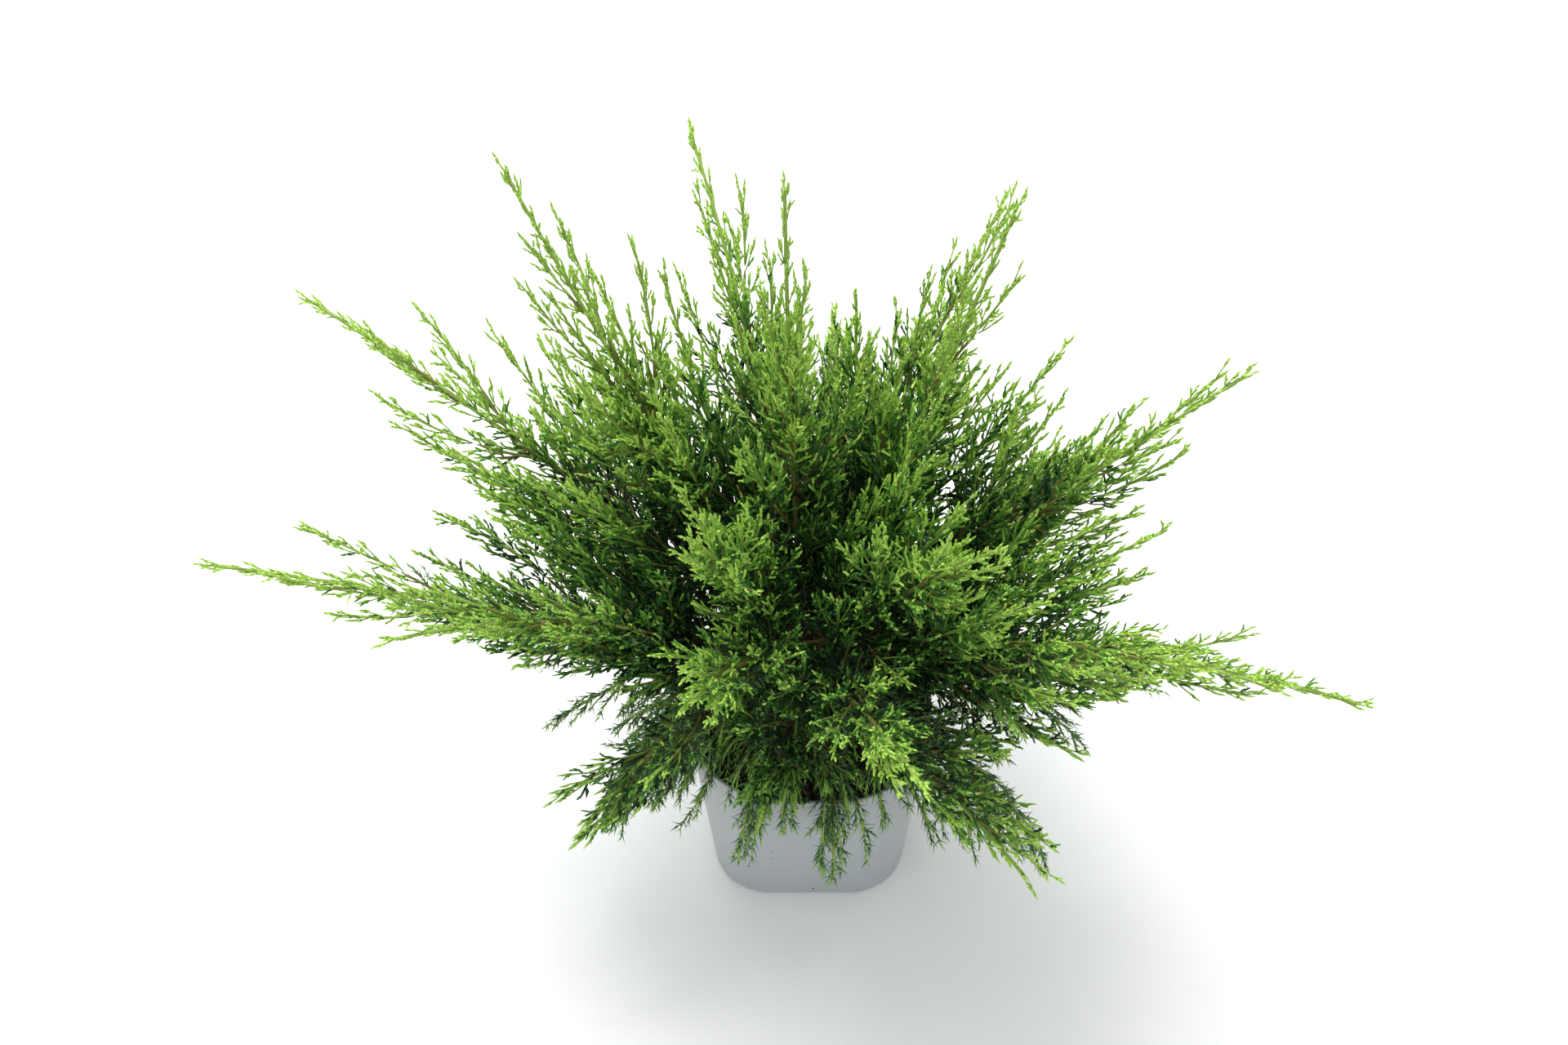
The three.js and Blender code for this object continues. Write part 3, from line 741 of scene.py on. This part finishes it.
def clear_of_pot(axes, hangs, above=0):
    """Which axes keep off the pot from a fifth of the way along to the tip, and so far above the hem."""
    points = axes.point(np.arange(len(axes.root))[:, None], np.linspace(0.2, 1, 5))
    lowest = hem(points, hangs[:, None]) + above
    return ((pot_room(points) > POT_CLEARANCE) & (points[..., 2] > lowest)).all(axis=1)


def outwardness(points):
    """0 in the heart of the crown and 1 on its dome: the distance from the heart over the dome's reach."""
    return np.linalg.norm((points - DOME_HEART) / DOME_REACH, axis=-1)


def way_out(points, directions):
    """How far it is from points to the dome along unit directions: the larger root t of the equation
    |(point + t direction - heart) / reach| = 1 for points inside it, and zero for those outside."""
    start = (points - DOME_HEART) / DOME_REACH
    step = directions / DOME_REACH
    square = (step**2).sum(axis=1)
    slope = (start * step).sum(axis=1)
    room = 1 - (start**2).sum(axis=1)
    return np.where(room > 0, (np.sqrt(slope**2 + square * np.clip(room, 0, None)) - slope) / square, 0)


def counted(lengths, spacing):
    """The children of parents of those lengths that bear one a spacing: for each child its parent, its
    number along it, and how many that parent bears."""
    counts = np.floor(lengths / spacing).astype(int)
    parent = np.repeat(np.arange(len(counts)), counts)
    number = np.arange(counts.sum()) - np.repeat(np.cumsum(counts) - counts, counts)
    return parent, number, counts[parent]


def leaning(axes, which, share, lean, turn):
    """The tangents of axes at a share, the sides of them found by turning across their normals by a turn,
    and the directions that lean off the tangents towards those sides."""
    tangent = axes.tangent(which, share)
    across = unit(np.cross(axes.normal[which], tangent))
    outward = np.cross(tangent, across)
    side = np.cos(turn)[:, None] * across + np.sin(turn)[:, None] * outward
    return tangent, side, np.cos(lean)[:, None] * tangent + np.sin(lean)[:, None] * side


def sprout(parents, parent, share, lean, turn, length, curl, lift, tilt):
    """Children that lean off their parents at a share. A child curls back towards the parent's tangent and
    lifts towards the sky by shares of its length, and its own normal faces the light but for a tilt."""
    tangent, _, direction = leaning(parents, parent, share, lean, turn)
    root = parents.point(parent, share)
    bend = length[:, None] * (curl[:, None] * (tangent - direction) + lift[:, None] * (0, 0, 1))
    light = unit(np.array([0, 0, 1]) + 0.5 * unit(root * (1, 1, 0) + (0, 0, 1e-6)))
    light = light + tilt[:, None] * unit(np.cross(light, direction))
    normal = unit(light - (light * direction).sum(axis=1)[:, None] * direction)
    return Axes(root, direction * length[:, None], bend, normal)


def grown_to_fit(parents, parent, share, lean, turn, length, curl, lift, tilt, hangs, above, shortest):
    """Children as sprout gives them, each shortened by steps until it is clear of the pot and so far above
    the hem. Gives the axes of those that stay longer than the shortest, and which they are."""
    for _ in range(FITTING_STEPS):
        axes = sprout(parents, parent, share, lean, turn, length, curl, lift, tilt)
        length = np.where(clear_of_pot(axes, hangs, above), length, length * FITTING_SHRINK)
    kept = np.flatnonzero(clear_of_pot(axes, hangs, above) & (length > shortest))
    return axes.picked(kept), kept


mass_lengths = leader_lengths * (1 - bare_shares)
is_skirt = tiers == "skirt"
low_boughs = np.flatnonzero(tiers == "low")

# Stretches that bear forks: one on every leader, and one of hanging forks round each low bough's foot
bearers = np.concatenate([np.arange(len(BOUGHS)), low_boughs])
bare = bare_shares[bearers]
hanging = np.concatenate([is_skirt, np.full(len(low_boughs), True)])
extra = np.arange(len(bearers)) >= len(BOUGHS)
fork_from = bare * np.where(hanging, HANGING_FROM, FORKS_FROM)
fork_to = np.where(extra, HANGING_UNTIL * bare, between(bare, 1, FORKS_UNTIL))
forked_length = leader_lengths[bearers] * (fork_to - fork_from)
stretch, number, count = counted(forked_length, np.where(hanging, HANGING_FORK_SPACING, FORK_SPACING))
parent = bearers[stretch]
hangs = hanging[stretch]
many = len(number)
along = (number + grow.uniform(size=many)) / count
none = np.zeros(many)
fork_share = between(fork_from[stretch], fork_to[stretch], along)
fork_lean = np.radians(between(FORK_ANGLE, FORK_ANGLE_AT_TIP, along))
fork_lean = fork_lean * grow.uniform(0.75, 1.2, many) * np.where(hangs, HANGING_FAN, 1)
second_leader = (number % SECOND_LEADER_EVERY == 1) & (along < SECOND_LEADERS_UNTIL) & ~hangs
fork_lean = np.where(second_leader, SECOND_LEADER_LEAN * fork_lean, fork_lean)
fork_turn = np.radians(number * TURN_OF_TWIGS) + grow.normal(0, 0.4, many)
first_way = sprout(leaders, parent, fork_share, fork_lean, fork_turn, none + 1, none, none, none).run
to_dome = way_out(leaders.point(parent, fork_share), first_way)
fork_length = np.maximum(mass_lengths[parent] * (FORK_SHARE - FORK_SHRINK * along), to_dome)
fork_length = np.clip(fork_length, SHORTEST_OUTER_FORK, LONGEST_FORK)
hanging_length = (HANGING_SHARE * mass_lengths[parent] + HANGING_BASE) * (1 - HANGING_SHRINK * along)
hanging_length = np.minimum(hanging_length, LONGEST_HANGING_FORK)
fork_length = np.where(hangs, hanging_length, fork_length)
second_length = SECOND_LEADER_SHARE * (1 - along) * mass_lengths[parent]
second_length = np.minimum(second_length, LONGEST_SECOND_LEADER)
fork_length = np.where(second_leader, np.maximum(second_length, fork_length), fork_length)
forks, kept = grown_to_fit(
    leaders,
    parent,
    fork_share,
    fork_lean,
    fork_turn,
    fork_length * grow.uniform(0.78, 1.12, many),
    grow.uniform(0.15, 0.45, many),
    np.where(hangs, HANGING_FORK_LIFT, FORK_LIFT) + grow.normal(0, 0.04, many),
    grow.normal(0, 0.4, many),
    hangs,
    (np.where(hangs, HANGING_FORK_ABOVE_HEM, FORK_ABOVE_HEM) + grow.uniform(0, 12, many))[:, None],
    SHORTEST_FORK,
)
fork_leader = parent[kept]
fork_hangs = hangs[kept]

FORK_SIDES = 5
FORK_RINGS = 6
FORK_TIP_RADIUS = 0.62
FORK_FOOT_SWELL = 0.5
FORK_TAN_UNTIL = 0.42
fork_foot = FORK_TIP_RADIUS + FORK_FOOT_SWELL * forks.length() / LONGEST_FORK
for name, first, last, wood_skin in (
    ("fork_stems_tan", 0, FORK_TAN_UNTIL, tan_wood),
    ("fork_stems_green", FORK_TAN_UNTIL - LAP, 1, green_wood),
):
    steps = np.linspace(first, last, FORK_RINGS + 2)
    fork_radii = between(fork_foot[:, None], FORK_TIP_RADIUS, steps[1:-1])
    fork_relief = bark_relief(len(fork_foot), FORK_RINGS, FORK_SIDES, length=60, depth=0.05, seed=33)
    fork_tubes = tubes(forks, steps, fork_radii[..., None] * fork_relief)
    piece = add_mesh(name, *join([fork_tubes]), wood_skin, True)
    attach(piece, "root")
    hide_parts(*MASS_NODES)

# The twigs: thin side shoots, tan where old and green where young. They grow round leaders and forks by the
# golden angle, longest in the dome. Along a whip they are short and held close, in tufts with bare wood
# between them. Those of the skirt and of the hanging forks droop over the rim.
TWIG_SPACING = 5.4
HANGING_TWIG_SPACING = 1.25 * TWIG_SPACING
LEADER_TWIG = 54
TWIG_SHARE = 0.3
TWIG_BASE = 10
TWIG_ANGLE = 50
TWIG_ANGLE_AT_TIP = 14
TWIG_SHRINK = 0.45
TWIG_LIFT = 0.08
SHORTEST_TWIG = 3
WHIP_FROM = 0.6
WHIP_FADE = 0.2
WHIP_TWIG = 7.5
TUFT_TWIG = 8
TUFT_SPACING = 26
SLIMMED_OUTSIDE = 0.5
SLIM_FROM = 0.9
SLIM_FADE = 0.35
HANGING_TWIG = 36
HANGING_TWIG_SHARE = 0.26
HANGING_TWIG_BASE = 6
HANGING_TWIG_LIFT = -0.5
FORK_BARE = 0.04
limbs = Axes(*map(np.concatenate, zip(leaders, forks)))
limb_first = np.concatenate([bare_shares, np.full(len(fork_leader), FORK_BARE)])
limb_length = np.concatenate([mass_lengths, forks.length()])
limb_leader = np.concatenate([np.arange(len(BOUGHS)), fork_leader])
limb_hangs = np.concatenate([is_skirt, fork_hangs])
limb_twig = np.minimum(LEADER_TWIG, TWIG_SHARE * limb_length + TWIG_BASE)
hanging_twig = np.minimum(HANGING_TWIG, HANGING_TWIG_SHARE * limb_length + HANGING_TWIG_BASE)
limb_twig = np.where(limb_hangs, hanging_twig, limb_twig)
parent, number, count = counted(limb_length, np.where(limb_hangs, HANGING_TWIG_SPACING, TWIG_SPACING))
many = len(number)
along = (number + 0.15 + 0.7 * grow.uniform(size=many)) / count
whip = np.clip((along - WHIP_FROM) / WHIP_FADE, 0, 1)
whip = np.where(limb_hangs[parent], 0, whip**2 * (3 - 2 * whip))
tuft = 0.5 + 0.5 * np.sin(2 * np.pi * along * limb_length[parent] / TUFT_SPACING + 1.7 * parent)
whip_twig = WHIP_TWIG + TUFT_TWIG * tuft * (1.25 - along)
twig_share = between(limb_first[parent], 1, along)
outside = np.clip((outwardness(limbs.point(parent, twig_share)) - SLIM_FROM) / SLIM_FADE, 0, 1)
dome_twig = limb_twig[parent] * (1 - TWIG_SHRINK * along) * grow.uniform(0.6, 1.15, many)
dome_twig = dome_twig * (1 - SLIMMED_OUTSIDE * outside)
lean = np.radians(between(TWIG_ANGLE, TWIG_ANGLE_AT_TIP, along**0.8))
lean = lean * grow.uniform(0.8, 1.15, many)
hangs = limb_hangs[parent]
twigs, kept = grown_to_fit(
    limbs,
    parent,
    twig_share,
    lean,
    np.radians(number * TURN_OF_TWIGS + 50 * parent) + grow.normal(0, 0.35, many),
    between(dome_twig, whip_twig, whip),
    grow.uniform(0.15, 0.45, many),
    np.where(hangs, HANGING_TWIG_LIFT, TWIG_LIFT) + grow.normal(0, 0.04, many),
    grow.normal(0, 0.5, many),
    hangs,
    grow.uniform(0, 9, many)[:, None],
    SHORTEST_TWIG,
)
twig_leader = limb_leader[parent[kept]]
twig_along = along[kept]
twig_hangs = hangs[kept]
twig_lengths = twigs.length()

TWIG_SIDES = 3
TWIG_RINGS = 4
TWIG_TIP_RADIUS = 0.4
TWIG_FOOT_SWELL = 0.4
RIPE_UNTIL = 0.4
RIPE_LENGTH = 18
twig_steps = np.linspace(0, 1, TWIG_RINGS + 2)
twig_foot = TWIG_TIP_RADIUS + TWIG_FOOT_SWELL * np.clip(twig_lengths / LEADER_TWIG, 0.1, 1.1)
twig_radii = between(twig_foot[:, None], TWIG_TIP_RADIUS, twig_steps[1:-1])
twig_radii = twig_radii[..., None] * np.ones(TWIG_SIDES)
ripe = (twig_along < RIPE_UNTIL) & (twig_lengths > RIPE_LENGTH)
for name, chosen, material in (("twigs_ripe", ripe, tan_wood), ("twigs_green", ~ripe, green_wood)):
    twig_tubes = tubes(twigs.picked(chosen), twig_steps, twig_radii[chosen])
    piece = add_mesh(name, *join([twig_tubes]), material, True)
    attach(piece, "root")
    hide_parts(*MASS_NODES)

# The branchlets and shoots: flat-lying sprays of green cords, each wrapped in close scale leaves that make
# its outline knobbly. Branchlets grow left and right in turn along a twig, and shoots along a branchlet.
BRANCHLET_SPACING = 5.2
NEEDLED_BRANCHLET_SPACING = 8.0
SHOOT_SPACING = 3.7
BRANCHLET_SHARE = 0.4
BRANCHLET_BASE = 4
SHOOT_SHARE = 0.32
SHOOT_BASE = 4.2
CORD_SIDES = 3
BRANCHLET_THICKNESS = 0.82
SHOOT_THICKNESS = 0.95
LIMB_END_THICKNESS = 1.2
TWIG_END_SHARE = 0.2
LIMB_END_BACK = 17
NEEDLED_BELOW = 0.2
NEEDLED_TWIG = 14

# What hangs, on the skirt and round the feet of the low boughs, is still juvenile and carries needles, as
# do the long inner twigs of the low boughs
inner_low = (tiers[twig_leader] == "low") & (twig_along < NEEDLED_BELOW) & (twig_lengths > NEEDLED_TWIG)
needled = twig_hangs | inner_low


def sprays(parents, spacing, base_length, shrink, lean_foot, lean_tip, spread, hangs):
    """Children alternating to the left and right along parents, in the plane across the normal but for a
    spread: the lean goes from the foot's to the tip's, and the length shrinks along the parent."""
    parent, number, count = counted(parents.length(), spacing)
    many = len(number)
    share = (number + 0.35 + 0.5 * grow.uniform(size=many)) / count
    length = base_length[parent] * (1 - shrink * share) * grow.uniform(0.65, 1.2, many)
    lean = np.radians(between(lean_foot, lean_tip, share)) * grow.uniform(0.85, 1.2, many)
    turn = np.pi * (number % 2) + grow.normal(0, spread, many)
    axes = sprout(
        parents,
        parent,
        share,
        lean,
        turn,
        length,
        grow.uniform(0.2, 0.5, many),
        grow.normal(0.04, 0.05, many),
        grow.normal(0, 0.4, many),
    )
    kept = clear_of_pot(axes, hangs[parent])
    return axes.picked(kept), parent[kept], share[kept]


branchlets, branchlet_twig, branchlet_share = sprays(
    twigs,
    spacing=np.where(needled, NEEDLED_BRANCHLET_SPACING, BRANCHLET_SPACING),
    base_length=BRANCHLET_SHARE * twig_lengths + BRANCHLET_BASE,
    shrink=0.6,
    lean_foot=44,
    lean_tip=22,
    spread=0.45,
    hangs=twig_hangs,
)
needled_branchlet = needled[branchlet_twig]
shoots, shoot_branchlet, shoot_share = sprays(
    branchlets,
    spacing=np.where(needled_branchlet, np.inf, SHOOT_SPACING),
    base_length=SHOOT_SHARE * branchlets.length() + SHOOT_BASE,
    shrink=0.5,
    lean_foot=40,
    lean_tip=26,
    spread=0.6,
    hangs=twig_hangs[branchlet_twig],
)


def terminals(axes, back, length):
    """The green ends of limbs: axes that start on each limb so far back from its tip that they cover its
    thin end, and run straight on by a length."""
    every = np.arange(len(axes.root))
    start = 1 - back / axes.length()
    direction = axes.tangent(every, start)
    return Axes(axes.point(every, start), direction * length[:, None], 0 * direction, axes.normal)


def cords(axes, thickness, rings):
    """Cords of scale leaves: three-sided tubes whose rings are each turned by half a side from the last. A
    ring's fullness falls from one with the square of its distance from 0.38 of the length, so that a cord
    is fullest a little under its middle and narrows to a pointed tip."""
    places = np.linspace(0.14, 0.76, rings) if rings > 1 else np.array([0.45])
    fullness = 1.0 - 0.9 * (places - 0.38) ** 2 / 0.38
    radii = thickness[:, None, None] * fullness[:, None] * np.ones(CORD_SIDES)
    return tubes(axes, np.concatenate([[0], places, [1]]), radii, np.pi / CORD_SIDES)


# Newness and painted light both rise with a spray's place outwards, and painted light rises with its height
# up into
# the light: the heart of the crown is painted in shade and its top is painted lit. Newness also rises with
# a chance of its own, and towards the tips of the spray
LIT_FROM = 235
LIT_RISE = 125
NEWER_AND_LIT_OUTWARDS = 0.61
PAINTED_LIGHT_UPWARDS = 0.22
NEWER_ALONG_TWIG = 0.28
NEWER_ALONG_BRANCHLET = 0.45
branchlet_tips = branchlets.tips()
branchlet_newness_and_light = (
    NEWER_AND_LIT_OUTWARDS * outwardness(branchlet_tips)
    + NEWER_ALONG_TWIG * branchlet_share
    + PAINTED_LIGHT_UPWARDS * np.clip((branchlet_tips[:, 2] - LIT_FROM) / LIT_RISE, 0, 1)
    + grow.normal(0, 0.11, len(twig_along))[branchlet_twig]
    + grow.normal(0, 0.06, len(branchlets.root))
)
shoot_newness_and_light = branchlet_newness_and_light[shoot_branchlet] + NEWER_ALONG_BRANCHLET * (shoot_share - 0.3)
shoot_newness_and_light = shoot_newness_and_light + grow.normal(0, 0.07, len(shoots.root))
twig_end_back = TWIG_END_SHARE * twig_lengths
twig_ends = terminals(twigs, twig_end_back + 1, twig_end_back + grow.uniform(5, 9, len(twigs.root)))
limb_ends = terminals(limbs, LIMB_END_BACK, grow.uniform(20, 25, len(limbs.root)))
# The green ends of twigs are painted lighter outwards, for their newness and for painted light on the
# crown's outside
twig_end_newness_and_light = 0.8 * outwardness(twig_ends.tips()) + 0.3 + grow.normal(0, 0.05, len(twigs.root))

# Each tint of the scale leaves: its name, the range of newness and painted light that has it, and its
# colour. The pale tints are new growth and painted light on the crown's outside and top, the dark ones
# older growth and painted shade in its heart
TINTS = [
    ("young", 1.04, 9.0, "#acd05c"),
    ("summer", 0.86, 1.04, "#6ea13c"),
    ("full", 0.64, 0.86, "#396a28"),
    ("shade", -9.0, 0.64, "#1b3a1a"),
]
MOST_TRIANGLES = 190000
SHADED_FULLNESS = 1.3

# Each kind of cord: its name, axes and newness with painted light, which of them carry needles instead,
# thickness and rings
CORD_KINDS = [
    ("branchlets", branchlets, branchlet_newness_and_light, needled_branchlet, BRANCHLET_THICKNESS, 3),
    ("shoots", shoots, shoot_newness_and_light, np.zeros(len(shoots.root), bool), SHOOT_THICKNESS, 2),
    ("twig_ends", twig_ends, twig_end_newness_and_light, needled, SHOOT_THICKNESS, 3),
    ("limb_ends", limb_ends, np.full(len(limbs.root), 1.2), limb_hangs, LIMB_END_THICKNESS, 7),
]
# The tints are dealt as plain base colours by newness and painted light, so the crown's light and shade are
# painted into its leaves
for tint, least, most, colour in TINTS:
    leaf = leaf_skin(tint + " scale leaves", colour, 0.5, 650.0, 0.8)
    for kind, axes, newness_and_light, juvenile, thick, rings in CORD_KINDS:
        chosen = np.flatnonzero((newness_and_light >= least) & (newness_and_light < most) & ~juvenile)
        if len(chosen) == 0:
            continue
        knobs = max(rings - 1, 1) if tint == "shade" else rings
        fuller = SHADED_FULLNESS if tint == "shade" else 1
        batches = int(np.ceil(len(chosen) * 2 * CORD_SIDES * knobs / MOST_TRIANGLES))
        for batch, part in enumerate(np.array_split(chosen, batches)):
            thickness = thick * fuller * grow.uniform(0.8, 1.15, len(part))
            forms = cords(axes.picked(part), thickness, knobs)
            piece = add_mesh("%s_%s_%d" % (kind, tint, batch + 1), *join([forms]), leaf, False)
            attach(piece, "root")
            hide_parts(*MASS_NODES)

# Juvenile sprays, on all that hangs and low inside: thin green cords with pairs of sharp spreading needles,
# each pair crosswise to the last. The needles are blue-green, and paler at a spray's new end.
NEEDLE_LENGTH = 7.4
NEEDLE_WIDTH = 1.15
NEEDLE_SPACING = 2.7
NEEDLE_ANGLE = 47
NEEDLE_ANGLE_CLOSED = 22
NEEDLE_SHRINK = 0.3
NEW_NEEDLES_FROM = 0.68
NEEDLED_CORD_RADIUS = 0.45
needle_branchlets = branchlets.picked(needled_branchlet)


def needles(axes, spacing, scale):
    """Needles in crossed pairs along axes: each a slim pyramid on a three-cornered foot, leaning forward
    off the axis, shorter towards its end. Gives points, faces and each needle's share along its axis."""
    parent, number, count = counted(axes.length(), spacing / 2)
    many = len(number)
    share = np.clip((number // 2 * 2 + 1.0) / count, 0.04, 0.99)
    turn = np.pi * number + np.pi / 2 * (number // 2) + grow.normal(0, 0.2, many)
    lean = np.radians(NEEDLE_ANGLE - NEEDLE_ANGLE_CLOSED * share) * grow.uniform(0.85, 1.15, many)
    tangent, side, direction = leaning(axes, parent, share, lean, turn)
    flank = unit(np.cross(tangent, side))
    length = scale * NEEDLE_LENGTH * (1 - NEEDLE_SHRINK * share) * grow.uniform(0.8, 1.15, many)
    root = axes.point(parent, share)
    half = NEEDLE_WIDTH / 2
    corners = [
        root + half * flank,
        root - half * flank,
        root + 0.55 * half * unit(np.cross(flank, direction)) + 0.3 * direction,
        root + length[:, None] * direction,
    ]
    faces = np.array([[0, 1, 2], [0, 3, 1], [1, 3, 2], [2, 3, 0]])
    return np.stack(corners, axis=1), faces, share


NEEDLE_DARK = "#41693f"
NEEDLE_LIGHT = "#84ad45"
NEEDLED_CORD_GREEN = "#4a6a35"
dark_needle = leaf_skin("blue-green juvenile needles", NEEDLE_DARK, 0.5, 900.0, 0.3)
pale_needle = leaf_skin("pale new needles", NEEDLE_LIGHT, 0.5, 900.0, 0.3)
needle_cord = leaf_skin("green needled cord", NEEDLED_CORD_GREEN, 0.55, 900.0, 0.3)
needle_sets = [
    needles(forks.picked(fork_hangs), NEEDLE_SPACING, 1.0),
    needles(twigs.picked(needled), NEEDLE_SPACING, 1.0),
    needles(needle_branchlets, NEEDLE_SPACING, 0.9),
]
for name, newest, material in (("needles_old", False, dark_needle), ("needles_new", True, pale_needle)):
    parts = []
    for forms, faces, share in needle_sets:
        chosen = (share + grow.normal(0, 0.12, len(share)) > NEW_NEEDLES_FROM) == newest
        parts.append((forms[chosen], faces))
    total = sum(len(forms) * len(faces) for forms, faces in parts)
    batches = int(np.ceil(total / MOST_TRIANGLES))
    for batch in range(batches):
        piece = add_mesh(
            "%s_%d" % (name, batch + 1),
            *join([(forms[batch::batches], faces) for forms, faces in parts]),
            material,
            False,
        )
        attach(piece, "root")
        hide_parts(*MASS_NODES)
needled_thickness = np.full(len(needle_branchlets.root), NEEDLED_CORD_RADIUS)
needled_forms = cords(needle_branchlets, needled_thickness, 2)
piece = add_mesh("needled_cords", *join([needled_forms]), needle_cord, False)
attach(piece, "root")
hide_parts(*MASS_NODES)
